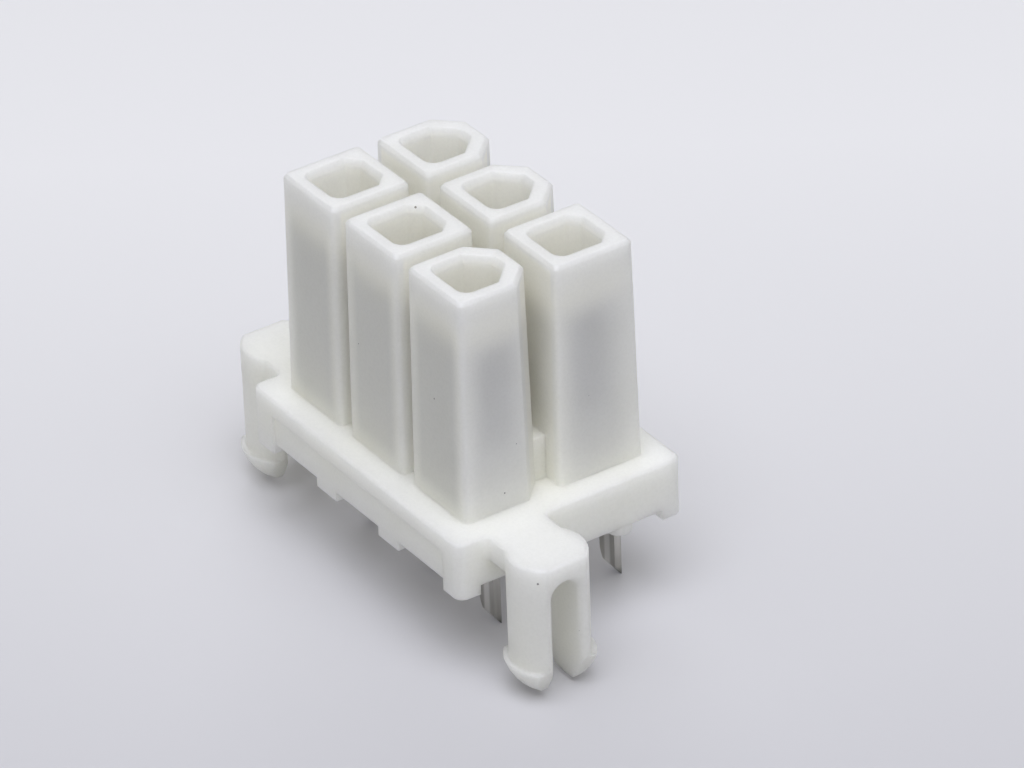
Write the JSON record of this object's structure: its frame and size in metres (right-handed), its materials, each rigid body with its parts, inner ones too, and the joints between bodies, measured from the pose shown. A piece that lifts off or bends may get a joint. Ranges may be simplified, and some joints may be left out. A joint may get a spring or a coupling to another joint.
{
  "type": "wire to board connector housing",
  "caption": "Upright wire to board connector housing: keyed silos on a flanged base with split board locks, holding stamped socket terminals with solder tails.",
  "frame": {"origin": "middle of the socket array, on the face of the circuit board that the feet sit on", "axes": "+X along the rows of sockets, +Y across the rows away from the board locks, +Z away from the board"},
  "size_m": [0.0206, 0.01, 0.0154],
  "materials": {
    "nylon": "natural translucent nylon, as moulded, satin",
    "tinned_terminal": "tin-plated copper alloy strip, satin"
  },
  "bodies": {
    "root": {"housing": "nylon", "terminal_1": "tinned_terminal", "terminal_2": "tinned_terminal", "terminal_3": "tinned_terminal", "terminal_4": "tinned_terminal", "terminal_5": "tinned_terminal", "terminal_6": "tinned_terminal"}
  },
  "joints": []
}
